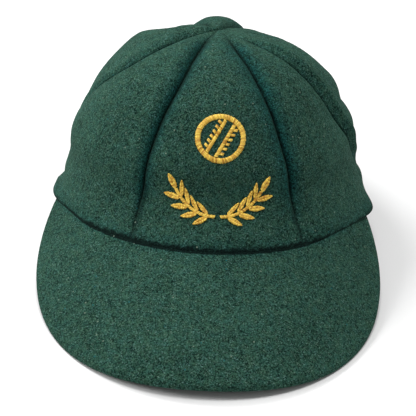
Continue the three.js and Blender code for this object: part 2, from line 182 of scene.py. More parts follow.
# How uneven the cloth is: the size of its lumps, how far they stand out and the noise's seed.
CROWN_BROAD = {"size": 42, "out": 0.55, "seed": 3.1}
CROWN_SMALL = {"size": 13, "out": 0.22, "seed": 7.7}
CROWN_FINE = {"size": 4.5, "out": 0.1, "seed": 15.2}
CROWN_HELD = 0.35  # how far the lumps still stand out where the rim and the tips hold the cloth
CROWN_FREE_FROM = (0, 0.12)
CROWN_FREE_TO = (0.86, 1)
PEAK_BROAD = {"size": 30, "out": 0.35, "seed": 11.3}
PEAK_SMALL = {"size": 9, "out": 0.1, "seed": 2.9}
PEAK_EDGE_HELD = 0.3  # how far they still stand out at the peak's edge
PEAK_EDGE_WAY = 8.0  # how far in from the edge the cloth is free
PEAK_JOIN_WAY = 0.1  # how far out from the join it is free, as a share of the peak's length

# Soft dents (negative) and swellings (positive) of the crown: degrees round, share of the way up, how far
# out, half width round and half height up.
DENTS = [
    {"turn": 0, "along": 0.31, "out": -3.0, "round": 26, "up": 15},
    {"turn": -12, "along": 0.36, "out": -0.8, "round": 12, "up": 7},
    {"turn": 2, "along": 0.09, "out": 0.9, "round": 40, "up": 9},
    {"turn": 71, "along": 0.0, "out": 3.7, "round": 15, "up": 8},
    {"turn": 86, "along": 0.36, "out": 2.0, "round": 22, "up": 26},
    {"turn": 50, "along": 0.1, "out": 1.6, "round": 22, "up": 7},
    {"turn": 305, "along": 0.1, "out": 1.2, "round": 20, "up": 7},
    {"turn": 278, "along": 0.1, "out": -2.6, "round": 22, "up": 11},
    {"turn": 96, "along": 0.13, "out": 1.2, "round": 14, "up": 8},
    {"turn": 55, "along": 0.3, "out": -1.0, "round": 16, "up": 16},
    {"turn": 98, "along": 0.32, "out": -0.9, "round": 16, "up": 16},
    {"turn": 288, "along": 0.02, "out": 2.6, "round": 18, "up": 8},
    {"turn": 283, "along": 0.42, "out": 1.4, "round": 24, "up": 24},
    {"turn": 227, "along": 0.81, "out": -2.2, "round": 14, "up": 9},
    {"turn": 249, "along": 0.76, "out": 1.7, "round": 12, "up": 9},
    {"turn": 262, "along": 0.3, "out": -0.8, "round": 18, "up": 14},
    {"turn": 135, "along": 0.83, "out": -1.2, "round": 18, "up": 10},
    {"turn": 180, "along": 0.84, "out": 1.2, "round": 18, "up": 9},
    {"turn": 180, "along": 0.28, "out": -1.0, "round": 22, "up": 12},
    {"turn": 222, "along": 0.4, "out": -0.7, "round": 16, "up": 16},
    {"turn": 138, "along": 0.42, "out": -0.8, "round": 18, "up": 14},
    {"turn": 92, "along": 0.515, "out": -1.9, "round": 12, "up": 4.5},
    {"turn": 98, "along": 0.59, "out": 0.9, "round": 12, "up": 6},
    {"turn": 82, "along": 0.38, "out": -1.5, "round": 12, "up": 6},
]

# The peak's sizes.
PEAK_LENGTH = 74.2
PEAK_DROOP = math.radians(29.3)
PEAK_ARCH = 5.1
PEAK_BOW = 1.5
PEAK_HALF_JOIN = math.radians(69)
PEAK_SPREAD = 0.253
PEAK_CORNER = 2.9
PEAK_TUCK = 5.0
PEAK_END = 0.6
PEAK_TOP_CLOTH = 2.0
PEAK_UNDER_CLOTH = 1.5
PEAK_UNDER_INSET = 1.2
LAYER_GAP = 0.3
JOIN_GAP = 0.1
PEAK_EDGE_ROUND = 1.9  # radius of the upper cloth's turned edge
PEAK_EDGE_FULL = 10.0  # length of the peak under which that radius shrinks
PEAK_EDGE_LEAST = 0.05  # the share of it that is left at the peak's ends
PEAK_COLUMNS = 150
PEAK_ROWS = 84
PEAK_ROW_GATHERING = 1.25  # how much closer the rows stand at the join, where 1 is even
PEAK_TUCK_ROWS = 12
PEAK_UNDER_COLUMNS = 100
PEAK_UNDER_ROWS = 42

# The badge, worked on the front panel.
BADGE_RISE = 42.0
BADGE_TURN = math.radians(2)
BADGE_STEPS = 300  # along the line up the cloth that its rise is measured on
BALL_RADIUS = 12.0
BALL_RING = 2.6
BALL_SEAM = 1.8
BALL_SEAM_GAP = 3.0
BALL_SEAM_TURN = math.radians(28)
BALL_RISE = 12.0
TICK_LENGTH = 1.9
TICK_STEP = 2.6
TICK_SLANT = 0.7
TICK_WIDTH = 1.1
SPRIG_FOOT = 25.5
SPRIG_GAP = 1.6
SPRIG_RADIUS = 22.0
SPRIG_SWEEP = math.radians(62)
STEM_WIDTH = 1.6
LEAF_PAIRS = 4
LEAF_LENGTH = 8.0
LEAF_GAP = 0.7
LEAF_LEAN = math.radians(38)
LEAF_LONGER = 0.3  # of the leaves in pairs than of the one at the end
LEAF_FIRST = 0.6  # place of the first pair along the stem, in steps from pair to pair
LEAF_STEPS_MORE = 0.5  # steps that the stem has more than pairs
LEAF_ROOT = 0.3  # from the stem's middle to a leaf's root, as a share of the stem's width

# The stitches. A pair is how high a stitch lies over the cloth at its ends and at its middle.
THREAD_PITCH = 0.66
THREAD_RADIUS = 0.32
THREAD_RINGS = 7
THREAD_SIDES = 6
THREAD_END = 0.45  # radius of a strand where it goes into the cloth, as a share
THREAD_SUNK = 0.25
THREAD_CROWDING = 0.09  # how much closer the rings stand at a stitch's ends
THREAD_ARCH = 2.4  # squareness of its arch, where 2 is round
THREAD_WANDER = 0.09
THREAD_LIFT_WANDER = 0.06
THREAD_SHADE = 0.58
THREAD_SHADE_SPREAD = 0.34
RING_LIFT = (0.1, 0.75)
RING_SLANT = 0.06  # in radians
BALL_SEAM_LIFT = (0.1, 0.6)
BALL_SEAM_SLANT = 0.3
BALL_SEAM_SHORT = 0.2  # how far a seam line stops short of the ring
TICK_LIFT = (0.05, 0.4)
LEAF_LIFT = (0.12, 0.62)
STEM_LIFT = (0.15, 0.62)
STEM_SLANT = 0.35

# A leaf's half widths, as shares of the widest, at shares of the way from its root to its tip.
LEAF_WAY = np.array([0, 0.12, 0.3, 0.55, 0.8, 0.93, 1])
LEAF_HALVES = np.array([0.22, 0.6, 0.84, 1.0, 0.66, 0.34, 0.08])
LEAF_START = 0.04  # share of the way where its first stitches start, and that is left after the last
LEAF_SLANT = 0.13  # how much nearer to the tip a stitch ends, as a share of what is left of the way
LEAF_MIDRIB_OVERLAP = 0.12  # how far the stitches of one half start in the other
LEAF_MIDRIB_LENGTH = 0.97  # as a share of the leaf's length

# The wool's, the thread's and the table's colours.
WOOL_DARK = (0.001, 0.0092, 0.0063, 1)
WOOL_LIGHT = (0.033, 0.095, 0.0645, 1)
WOOL_GLINT = (0.1, 0.19, 0.155, 1)
WOOL_COOL = (0.88, 1.0, 1.1, 1)
WOOL_WARM = (1.06, 1.0, 0.95, 1)
# Painted shade: the teal that also darkens the cloth beside the seams and the join, partly a teal hue.
SEAM_TEAL_AND_SHADE = (0.22, 0.7, 0.88, 1)
# Painted shade: the near black of the lines along the seams and the join.
SEAM_PAINTED_SHADE = (0.0006, 0.0035, 0.0035, 1)
PALE_FLECK = (0.16, 0.22, 0.17, 1)
TEAL_FLECK = (0.01, 0.1, 0.11, 1)
THREAD_DARK = (0.48, 0.2, 0.006, 1)
THREAD_LIGHT = (0.98, 0.71, 0.11, 1)
THREAD_WORN = (0.98, 0.66, 0.12, 1)
TABLE_PAINT = (0.85, 0.85, 0.85, 1)
TABLE_SIZE = 6  # metres

# The camera, fitted to the photo's view, and the lights, in metres.
CAMERA_PLACE = Vector((-0.008944, -0.522457, 0.327816))
CAMERA_LOOKS_AT = Vector((-0.001591, 0.032786, -0.00035))
CAMERA_ROLL = math.radians(2.966)
CAMERA_LENS = 99.39
LIGHTS = [
    {"name": "top_light", "place": (0, 0, 1.55), "power": 11.8},
    {"name": "left_light", "place": (-1.25, -0.25, 0.85), "power": 8.5},
    {"name": "back_left_light", "place": (-0.75, 0.75, 1.1), "power": 12.4},
    {"name": "right_light", "place": (0.85, 0.5, 1.35), "power": 3.4},
]
LIGHT_SIZE = 0.6
LIGHTS_LOOK_AT = Vector((0, 0, 0.04))
WORLD_LIGHT = 0.35


def smoothstep(value, low, high):
    share = np.clip((value - low) / (high - low), 0, 1)
    return share * share * (3 - 2 * share)


def spline(values, along):
    """A smooth curve through evenly spaced values, at shares of the way from the first to the last."""
    last = len(values) - 1
    place = np.clip(along, 0, 1) * last
    at = np.minimum(place.astype(int), last - 1)
    t = place - at
    before, here, after, beyond = (values[np.clip(at + step, 0, last)] for step in (-1, 0, 1, 2))
    leave = (after - before) / 2
    arrive = (beyond - here) / 2
    bend = (2 * here - 2 * after + leave + arrive) * t + (-3 * here + 3 * after - 2 * leave - arrive)
    return bend * t * t + leave * t + here


def shell(turn, along):
    """The seams' own surface, which every panel meets at its two edges."""
    ahead = np.maximum(np.cos(turn), 0) ** 2
    behind = np.maximum(-np.cos(turn), 0) ** 2
    reach = ahead * spline(SECTION_FRONT, along) + behind * spline(SECTION_BACK, along)
    reach = reach + np.sin(turn) ** 2 * spline(SECTION_SIDE, along)
    x = (TIP_RADIUS + (HALF_WIDTH - TIP_RADIUS) * reach) * np.sin(turn)
    y = -(TIP_RADIUS + (HALF_LENGTH - TIP_RADIUS) * reach) * np.cos(turn)
    return np.stack([x, y, CROWN_HEIGHT * spline(SECTION_UP, along)], axis=-1)


def shell_steps(turn, along):
    """Steps over that surface, round it and up it, for each radian and for the whole way."""
    step = 1e-3
    low = np.maximum(along - step, 0)
    high = np.minimum(along + step, 1)
    round_step = (shell(turn + step, along) - shell(turn - step, along)) / (2 * step)
    up_step = (shell(turn, high) - shell(turn, low)) / (high - low)[..., None]
    return round_step, up_step


def outward(turn, along):
    round_step, up_step = shell_steps(turn, along)
    normal = np.cross(round_step, up_step)
    normal /= np.linalg.norm(normal, axis=-1, keepdims=True)
    normal[..., 2] *= smoothstep(along, 0, RIM_LEVEL)
    return normal / np.linalg.norm(normal, axis=-1, keepdims=True)


def to_row(points):
    """From the cap's own frame to where it rests. What would sink into the table is pressed flat on it."""
    tilt, lift = math.cos(REST_TILT), math.sin(REST_TILT)
    x, y, z = points[..., 0], points[..., 1], points[..., 2]
    rested = np.stack([x, y * tilt + z * lift, -y * lift + z * tilt], axis=-1) + REST_PLACE
    rested[..., 2] = np.maximum(rested[..., 2], 0)
    return rested * MM


def cloth_noise(points, size, seed):
    """Smooth noise from -1 to 1 over a grid of points, with lumps of a size in millimetres."""
    flat = points.reshape(-1, 3) / size + seed
    values = np.array([noise.noise(Vector(point)) for point in flat])
    return values.reshape(points.shape[:-1])


def lumps(points, kind):
    return kind["out"] * cloth_noise(points, kind["size"], kind["seed"])


def softness(turn, along, points):
    """How far the soft cloth gives in or out at points of the crown: its lumps and its dents."""
    free = smoothstep(along, *CROWN_FREE_FROM) * (1 - smoothstep(along, *CROWN_FREE_TO))
    held = CROWN_HELD + (1 - CROWN_HELD) * free
    out = (lumps(points, CROWN_BROAD) + lumps(points, CROWN_SMALL)) * held + lumps(points, CROWN_FINE)
    reach = np.linalg.norm(points[..., :2], axis=-1)
    for dent in DENTS:
        away = np.angle(np.exp(1j * (turn - math.radians(dent["turn"])))) * reach
        above = (along - dent["along"]) * CROWN_WAY
        out += dent["out"] * np.exp(-((away / dent["round"]) ** 2) - (above / dent["up"]) ** 2)
    return out


def panel_span(panel, along):
    """The middle and the half width of a panel as angles round the crown, at shares of the way up."""
    start = spline(np.radians(panel["start_seam"]["turns"]), along)
    end = spline(np.radians(panel["end_seam"]["turns"]), along)
    return (start + end) / 2, (end - start) / 2


def stand_out(panel, across, along):
    """How far a panel swells out between its two seams."""
    rising = panel["rim"] + (panel["most"] - panel["rim"]) * smoothstep(along, 0, panel["fullest"])
    amount = rising + (panel["tip"] - rising) * smoothstep(along, panel["fullest"], 1)
    middle, half = panel_span(panel, along)
    round_step, _ = shell_steps(middle, along)
    width = 2 * half * np.linalg.norm(round_step, axis=-1)
    pillow = np.maximum(1 - across**2, 0) ** PANEL_PILLOW
    return PANEL_PUFF * amount * pillow * width / (width + TIP_NARROWING)


def groove_depth(seam, along):
    low = seam["rim"] + (seam["middle"] - seam["rim"]) * smoothstep(along, *GROOVE_DEEPENS)
    deep = low + (seam["high"] - low) * smoothstep(along, *GROOVE_DEEPENS_AGAIN)
    return deep * (1 - smoothstep(along, *GROOVE_ENDS))


def beside_seam(seam, side, distance, along, points):
    """How a seam draws the cloth at a distance from it, on its side 0, before it, or 1, after it: how far in,
    and how far sideways towards the seam."""
    width = seam["groove"][side] * (LOW_GROOVE + (1 - LOW_GROOVE) * smoothstep(along, *GROOVE_WIDENS))
    groove = groove_depth(seam, along) * np.clip(1 - distance / width, 0, 1) ** 2
    free = smoothstep(along, *WELT_STARTS) * (1 - smoothstep(along, *WELT_ENDS))
    welt = seam["welt"][side] * free * np.exp(-(((distance - WELT_PLACE) / WELT_WIDTH) ** 2))
    ripple = cloth_noise(points * PUCKER_SQUEEZE, PUCKER_SIZE, PUCKER_SEEDS[side])
    fade = np.clip(distance / PUCKER_PLACE, 0, 1) * np.clip(1 - distance / PUCKER_REACH, 0, 1) ** PUCKER_FADE
    inward = groove - welt + PUCKER_DEPTH * ripple * fade
    share = np.clip(distance / LEAN_WIDTH, 0, 1)
    lean = max(-seam["lean"] if side else seam["lean"], 0)
    leaning = smoothstep(along, *LEAN_STARTS) * (1 - smoothstep(along, *LEAN_ENDS))
    return inward, lean * 4 * share * (1 - share) * leaning


def seam_painted_shade_and_teal(seam, side, distance, along):
    """The teal, partly painted shade, and the line of painted shade that a seam lays on the cloth at a
    distance.
    """
    strength = np.minimum(groove_depth(seam, along) / SEAM_SHADED_TEAL_DEPTH, 1)
    teal_and_shade = seam["teal_and_shade"] * strength * np.exp(-((distance / seam["teal"][side]) ** 2))
    shade = SEAM_CORE_SHADE * (SEAM_CORE_SHALLOW + (1 - SEAM_CORE_SHALLOW) * strength)
    painted_shade = shade * np.exp(-((distance / seam["painted_shade"][side]) ** 2))
    return teal_and_shade, painted_shade * (1 - smoothstep(along, seam["ends"] - SEAM_CORE_FADE, seam["ends"]))


def join_roll(turn):
    """How far the rim is rolled in over the join. Where this is negative, the rim hangs out over the peak."""
    hanging = smoothstep(np.cos(turn - JOIN_OVERHANG_TURN), *JOIN_OVERHANG_ROUND)
    return JOIN_ROLL_DEPTH - (JOIN_ROLL_DEPTH + JOIN_OVERHANG) * hanging


# The teal beside the join, partly a teal hue and partly painted shade.
def join_teal_and_shade(distance):
    return JOIN_TEAL_AND_SHADE * np.exp(-((distance / JOIN_TEAL_AND_SHADE_REACH) ** 2))


def panel_grid(panel, depth):
    """The points of a panel's outer skin (depth 0) or inner skin (depth 1), and the teal with painted shade
    and the line of painted shade that its seams and the join lay on them."""
    step = np.linspace(-1, 1, PANEL_COLUMNS + 1)
    rise = np.linspace(0, 1, PANEL_ROWS + 1)
    gathered_step = step * (1 + COLUMN_GATHERING - COLUMN_GATHERING * step**2)
    gathered_rise = (1 - ROW_GATHERING) * rise + ROW_GATHERING * rise**2
    across, along = np.meshgrid(gathered_step, gathered_rise)
    middle, half_turn = panel_span(panel, along)
    turn = middle + across * half_turn
    on_shell = shell(turn, along)
    round_step, up_step = shell_steps(turn, along)
    half = half_turn * np.linalg.norm(round_step, axis=-1)
    over_rim = along * np.linalg.norm(up_step[:1], axis=-1)
    to_start = (1 + across) * half
    to_end = (1 - across) * half
    out = stand_out(panel, across, along) + softness(turn, along, on_shell) - depth * CROWN_CLOTH
    if depth == 0:
        in_start, lean_start = beside_seam(panel["start_seam"], 1, to_start, along, on_shell)
        in_end, lean_end = beside_seam(panel["end_seam"], 0, to_end, along, on_shell)
        turn = turn + (lean_end - lean_start) / half * half_turn
        roll_height = RIM_ROLL_HEIGHT * (1 - RIM_ROLL_LOWER * smoothstep(np.cos(turn), *JOIN_FRONT_ROUND))
        at_join = smoothstep(np.cos(turn), *JOIN_ROLL_ROUND)
        roll_depth = RIM_ROLL_DEPTH + (join_roll(turn) - RIM_ROLL_DEPTH) * at_join
        roll = roll_depth * np.clip(1 - over_rim / roll_height, 0, 1) ** 2
        out = out - in_start - in_end - roll
    points = shell(turn, along) + outward(turn, along) * out[..., None]
    gather = 1 - (1 - TIP_CLOSED / TIP_RADIUS) * smoothstep(along, TIP_CLOSES, 1) ** 2
    points[..., :2] *= gather[..., None]
    # The join's line of painted shade up the rim, and its teal with painted shade.
    reach = RIM_SHADE_REACH + RIM_SHADE_MORE * smoothstep(np.cos(turn), *JOIN_FRONT_ROUND)
    wander = JOIN_RAGGED * cloth_noise(on_shell, JOIN_RAGGED_SIZE, RIM_RAGGED_SEED)
    over_join = smoothstep(np.cos(turn), *JOIN_LINE_ROUND)
    painted_shade = (1 - smoothstep(over_rim + wander, 0, RIM_SHADE_FADE * reach)) * over_join
    teal_and_shade = join_teal_and_shade(over_rim) * over_join
    # The seams' teal with painted shade, and their lines of painted shade.
    for seam, side, distance in ((panel["start_seam"], 1, to_start), (panel["end_seam"], 0, to_end)):
        seam_teal_and_shade, seam_painted_shade = seam_painted_shade_and_teal(seam, side, distance, along)
        teal_and_shade = np.maximum(teal_and_shade, seam_teal_and_shade)
        painted_shade = np.maximum(painted_shade, seam_painted_shade)
    return points, teal_and_shade, painted_shade


def peak_point(across, out, inset, drop):
    turn = across * PEAK_HALF_JOIN
    grain = turn * PEAK_SPREAD
    taper = np.sqrt(np.maximum(1 - np.abs(across) ** PEAK_CORNER, 0))
    level = np.maximum(PEAK_LENGTH * math.cos(PEAK_DROOP) * taper - inset, 0) + PEAK_END
    arch = PEAK_ARCH * np.sin(np.pi * np.abs(across)) * np.abs(across)
    bow = PEAK_BOW * np.sin(np.pi * out) * taper
    x = HALF_WIDTH * np.sin(turn) + np.sin(grain) * level * out
    y = -HALF_LENGTH * np.cos(turn) - np.cos(grain) * level * out
    z = bow - (math.tan(PEAK_DROOP) * level + arch) * out - JOIN_GAP
    over = np.stack([np.sin(grain), -np.cos(grain), np.full_like(grain, 1 / math.tan(PEAK_DROOP))], axis=-1)
    over /= np.linalg.norm(over, axis=-1, keepdims=True)
    return np.stack([x, y, z], axis=-1) - over * np.asarray(drop)[..., None], level / math.cos(PEAK_DROOP)


def peak_grid(columns, rows, inset, top, cloth, edge_round, depth):
    """The points of the upper skin (depth 0) or lower skin (depth 1) of a peak cloth, from its edge to the
    strip that is tucked in under the rim, and the teal with painted shade and the line of painted shade
    that the join lays on them."""
    step = np.linspace(-1, 1, columns + 1)
    rise = np.linspace(0, 1, rows + 1)
    across, out = np.meshgrid(np.sin(step * np.pi / 2), (1 - rise) ** PEAK_ROW_GATHERING)
    flat, length = peak_point(across, out, inset, np.zeros_like(out))
    from_edge = (1 - out) * length
    radius = edge_round * np.clip(length / PEAK_EDGE_FULL, PEAK_EDGE_LEAST, 1)
    turned = radius - np.sqrt(np.maximum(radius**2 - np.clip(radius - from_edge, 0, None) ** 2, 0))
    wave = lumps(flat, PEAK_BROAD) + lumps(flat, PEAK_SMALL)
    wave *= np.clip(from_edge / PEAK_EDGE_WAY, PEAK_EDGE_HELD, 1) * np.clip(out / PEAK_JOIN_WAY, 0, 1)
    drop = top + (cloth - turned if depth else turned) - wave
    points, _ = peak_point(across, out, inset, drop)
    tucked = []
    turn = across[0] * PEAK_HALF_JOIN
    shows = join_roll(turn)
    beyond_rim = list(out * length + shows)
    inward = np.stack([-HALF_LENGTH * np.sin(turn), HALF_WIDTH * np.cos(turn), np.zeros_like(turn)], axis=-1)
    inward /= np.linalg.norm(inward, axis=-1, keepdims=True)
    for row in range(1, PEAK_TUCK_ROWS + 1):
        way_in = PEAK_TUCK * row / PEAK_TUCK_ROWS
        tucked.append(points[-1] + inward * way_in)
        beyond_rim.append(shows - way_in)
    points = np.concatenate([points, np.array(tucked)])
    beyond_rim = np.maximum(beyond_rim, 0)
    # The join's line of painted shade down the peak.
    reach = PEAK_SHADE_REACH + PEAK_SHADE_MORE * smoothstep(np.cos(turn), *JOIN_FRONT_ROUND)
    wander = PEAK_RAGGED * JOIN_RAGGED * cloth_noise(points, JOIN_RAGGED_SIZE, PEAK_RAGGED_SEED)
    fade_from, fade_to = (share * reach for share in PEAK_SHADE_FADE)
    painted_shade = 1 - smoothstep(beyond_rim + wander, fade_from, fade_to)
    return points, join_teal_and_shade(beyond_rim), painted_shade


def quads(*corners):
    return np.stack(corners, axis=-1).reshape(-1, 4)


def new_piece(name, points, faces, shades):
    """A smooth mesh, with a number for each of its points under each name in shades."""
    mesh = bpy.data.meshes.new(name)
    mesh.from_pydata(points.reshape(-1, 3).tolist(), [], faces)
    for key, values in shades.items():
        attribute = mesh.attributes.new(key, "FLOAT", "POINT")
        attribute.data.foreach_set("value", values.astype(np.float32))
    mesh.polygons.foreach_set("use_smooth", np.ones(len(mesh.polygons), bool))
    mesh.update()
    piece = bpy.data.objects.new(name, mesh)
    bpy.context.scene.collection.objects.link(piece)
    return piece


def sewn_wall(name, outer, inner, teal_and_shade, painted_shade):
    """A closed cloth wall between two grids of points, with the teal with painted shade and the line of
    painted shade that the seams and the join lay on each point.
    """
    rows, columns = outer.shape[0] - 1, outer.shape[1] - 1
    points = np.concatenate([outer.reshape(-1, 3), inner.reshape(-1, 3)])
    place = np.arange((rows + 1) * (columns + 1)).reshape(rows + 1, columns + 1)
    under = place + place.size
    faces = [
        quads(place[:-1, :-1], place[:-1, 1:], place[1:, 1:], place[1:, :-1]),
        quads(under[1:, :-1], under[1:, 1:], under[:-1, 1:], under[:-1, :-1]),
    ]
    for upper, lower in (
        (place[0, ::-1], under[0, ::-1]),
        (place[-1], under[-1]),
        (place[:, 0], under[:, 0]),
        (place[::-1, -1], under[::-1, -1]),
    ):
        faces.append(quads(upper[:-1], upper[1:], lower[1:], lower[:-1]))
    shades = {"seam_teal_and_shade": np.tile(teal_and_shade.ravel(), 2), "seam_painted_shade": np.tile(painted_shade.ravel(), 2)}
    return new_piece(name, to_row(points), np.concatenate(faces).tolist(), shades)


def dress(piece, material, slot, *nodes):
    piece.data.materials.append(material)
    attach(piece, "root")
    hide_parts(*nodes)


class Finish:
    """A material's nodes, made one after another."""

    def __init__(self, name):
        self.material = bpy.data.materials.new(name)
        self.material.use_nodes = True
        self.tree = self.material.node_tree
        self.shader = self.tree.nodes["Principled BSDF"]

    def node(self, kind, inputs=(), **settings):
        made = self.tree.nodes.new(kind)
        for key, value in settings.items():
            setattr(made, key, value)
        for socket, value in dict(inputs).items():
            if isinstance(value, bpy.types.NodeSocket):
                self.tree.links.new(value, made.inputs[socket])
            else:
                made.inputs[socket].default_value = value
        return made

    def maths(self, operation, first, second=0.5, third=0.0):
        return self.node("ShaderNodeMath", {0: first, 1: second, 2: third}, operation=operation).outputs[0]

    def ramp(self, value, low, high, to_low=0.0, to_high=1.0):
        inputs = {"Value": value, "From Min": low, "From Max": high, "To Min": to_low, "To Max": to_high}
        return self.node("ShaderNodeMapRange", inputs).outputs["Result"]

    def mix(self, factor, first, second, blend="MIX"):
        made = self.node("ShaderNodeMix", data_type="RGBA", blend_type=blend)
        for socket, value in ((0, factor), (6, first), (7, second)):
            if isinstance(value, bpy.types.NodeSocket):
                self.tree.links.new(value, made.inputs[socket])
            else:
                made.inputs[socket].default_value = value
        return made.outputs[2]


def melton_wool():
    """Felted wool: a mottled dark green nap with pale and teal flecks. Painted shade, with a teal hue, makes
    it darker and bluer in its seams and along the join.
    """
    finish = Finish("melton_wool")
    place = finish.node("ShaderNodeTexCoord").outputs["Object"]

    def grain(size, detail=2.0, rough=0.6, seed=0.0):
        inputs = {"Vector": place, "W": seed, "Scale": 1 / (size * MM), "Detail": detail, "Roughness": rough}
        return finish.node("ShaderNodeTexNoise", inputs, noise_dimensions="4D").outputs["Fac"]

    fibre = grain(0.85, 2.0, 0.8)
    tuft = grain(2.6)
    patch = grain(26, 3.0)
    light = finish.maths("ADD", finish.ramp(fibre, 0.4, 0.6, -1, 1), finish.ramp(tuft, 0.32, 0.68, -0.4, 0.4))
    light = finish.maths("ADD", light, finish.ramp(patch, 0.35, 0.65, -0.18, 0.18))
    light = finish.maths("ADD", light, finish.ramp(grain(8.5), 0.35, 0.65, -0.14, 0.14))
    wool = finish.mix(finish.ramp(light, -1.15, 1.3), WOOL_DARK, WOOL_LIGHT)
    glint = grain(0.7, 1.0, 0.8, 5.5)
    wool = finish.mix(finish.ramp(glint, 0.55, 0.72, 0.0, 0.8), wool, WOOL_GLINT)
    hue = finish.mix(finish.ramp(grain(3.2), 0.35, 0.65), WOOL_COOL, WOOL_WARM)
    wool = finish.mix(1.0, wool, hue, "MULTIPLY")

    # Beside the seams and the join: a teal hue with painted shade.
    teal_and_shade = finish.node("ShaderNodeAttribute", attribute_name="seam_teal_and_shade").outputs["Fac"]
    wool = finish.mix(teal_and_shade, wool, SEAM_TEAL_AND_SHADE, "MULTIPLY")
    # Along the seams and the join: a line of painted shade with ragged edges.
    painted_shade = finish.node("ShaderNodeAttribute", attribute_name="seam_painted_shade").outputs["Fac"]
    painted_shade = finish.maths("MULTIPLY", painted_shade, finish.ramp(grain(1.5, 2.0, 0.7), 0.35, 0.65, 0.7, 1.3))
    painted_shade = finish.maths("MULTIPLY", finish.ramp(painted_shade, 0.15, 0.85), finish.ramp(fibre, 0.4, 0.62, 1.0, 0.9))
    wool = finish.mix(painted_shade, wool, SEAM_PAINTED_SHADE)

    speck = finish.node("ShaderNodeTexVoronoi", {"Vector": place, "Scale": 1 / (3.4 * MM), "Randomness": 1.0})
    chosen = finish.node("ShaderNodeSeparateColor", {0: speck.outputs["Color"]})
    small = finish.maths("LESS_THAN", speck.outputs["Distance"], 0.12)
    pale = finish.maths("MULTIPLY", small, finish.maths("GREATER_THAN", chosen.outputs[0], 0.9))
    teal = finish.maths("MULTIPLY", small, finish.maths("LESS_THAN", chosen.outputs[0], 0.07))
    wool = finish.mix(finish.maths("MULTIPLY", pale, 0.75), wool, PALE_FLECK)
    wool = finish.mix(finish.maths("MULTIPLY", teal, 0.8), wool, TEAL_FLECK)

    finish.tree.links.new(wool, finish.shader.inputs["Base Color"])
    finish.shader.inputs["Roughness"].default_value = 0.95
    finish.shader.inputs["Specular IOR Level"].default_value = 0.06
    finish.shader.inputs["Sheen Weight"].default_value = 0.06
    finish.shader.inputs["Sheen Roughness"].default_value = 0.5
    finish.shader.inputs["Sheen Tint"].default_value = (0.3, 0.8, 0.55, 1)
    height = finish.maths("ADD", fibre, finish.maths("MULTIPLY", tuft, 0.8))
    bump = finish.node("ShaderNodeBump", {"Height": height, "Strength": 1.0, "Distance": 0.5 * MM})
    finish.tree.links.new(bump.outputs["Normal"], finish.shader.inputs["Normal"])
    return finish.material


def gold_thread():
    """Bright embroidery thread, each strand a little lighter or darker than its neighbours."""
    finish = Finish("gold_thread_satin")
    place = finish.node("ShaderNodeTexCoord").outputs["Object"]
    strand = finish.node("ShaderNodeAttribute", attribute_name="strand_shade").outputs["Fac"]
    gold = finish.mix(strand, THREAD_DARK, THREAD_LIGHT)
    inputs = {"Vector": place, "Scale": 1 / (5 * MM), "Detail": 2.0}
    worn = finish.node("ShaderNodeTexNoise", inputs).outputs["Fac"]
    gold = finish.mix(finish.ramp(worn, 0.35, 0.65, 0.0, 0.3), gold, THREAD_WORN)
    finish.tree.links.new(gold, finish.shader.inputs["Base Color"])
    finish.shader.inputs["Roughness"].default_value = 0.38
    finish.shader.inputs["Specular IOR Level"].default_value = 0.45
    return finish.material


def pale_table():
    finish = Finish("pale_table")
    finish.shader.inputs["Base Color"].default_value = TABLE_PAINT
    finish.shader.inputs["Roughness"].default_value = 0.9
    finish.shader.inputs["Specular IOR Level"].default_value = 0.1
    return finish.material


def badge_point(x, y, z):
    """A point over the front panel, from the badge's middle: sideways, up the cloth and off the cloth."""
    front = PANELS[0]
    along = np.interp(BADGE_RISE + y, badge_lengths, badge_shares)
    middle, half = panel_span(front, along)
    round_step, _ = shell_steps(middle, along)
    turn = BADGE_TURN + x / np.linalg.norm(round_step, axis=-1)
    across = np.clip((turn - middle) / half, -1, 1)
    on_shell = shell(turn, along)
    out = stand_out(front, across, along) + softness(turn, along, on_shell) + z
    return on_shell + outward(turn, along) * out[..., None]


def strand_points(start, end, low, high):
    """The rings of points of one stitch: it comes up out of the cloth, arches over and goes down again."""
    t = np.linspace(0, 1, THREAD_RINGS)
    spread = t - THREAD_CROWDING * np.sin(2 * np.pi * t)
    way = np.array(end) - np.array(start)
    length = np.linalg.norm(way)
    middle = np.array(start) + way * spread[:, None]
    lift = low + (high - low) * (1 - np.abs(2 * spread - 1) ** THREAD_ARCH)
    lift[[0, -1]] -= THREAD_SUNK
    side = np.array([-way[1], way[0]]) / length
    angles = np.linspace(0, 2 * np.pi, THREAD_SIDES, endpoint=False)
    radius = THREAD_RADIUS * np.where((t == 0) | (t == 1), THREAD_END, 1)
    x = middle[:, :1] + side[0] * np.cos(angles) * radius[:, None]
    y = middle[:, 1:] + side[1] * np.cos(angles) * radius[:, None]
    z = lift[:, None] + np.sin(angles) * radius[:, None]
    return np.stack([x, y, z], axis=-1)


